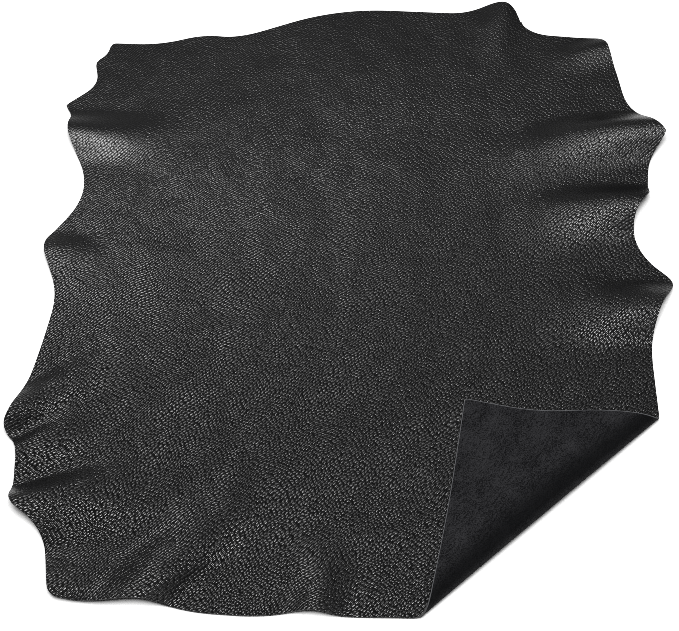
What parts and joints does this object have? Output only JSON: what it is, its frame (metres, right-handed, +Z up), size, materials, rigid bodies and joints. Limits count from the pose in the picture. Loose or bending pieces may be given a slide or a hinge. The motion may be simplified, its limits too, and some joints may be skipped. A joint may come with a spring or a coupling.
{
  "type": "cowhide leather piece",
  "caption": "Cut piece of black pebble-grain cowhide leather with a scalloped natural outline, lying flat with one corner folded back to show the suede side.",
  "frame": {"origin": "on the surface that the hide lies on, under the middle of its bounding box", "axes": "+Z up, out of the grain side; +X along the near edge towards the folded corner's side; +Y away from the near edge"},
  "size_m": [0.5902, 0.609, 0.0206],
  "materials": {
    "black_leather": "black pebbled grain with a soft semi-gloss top coat, matte blue-black suede on the flesh side, cut edge charcoal"
  },
  "bodies": {
    "root": {"hide": "black_leather"}
  },
  "joints": []
}
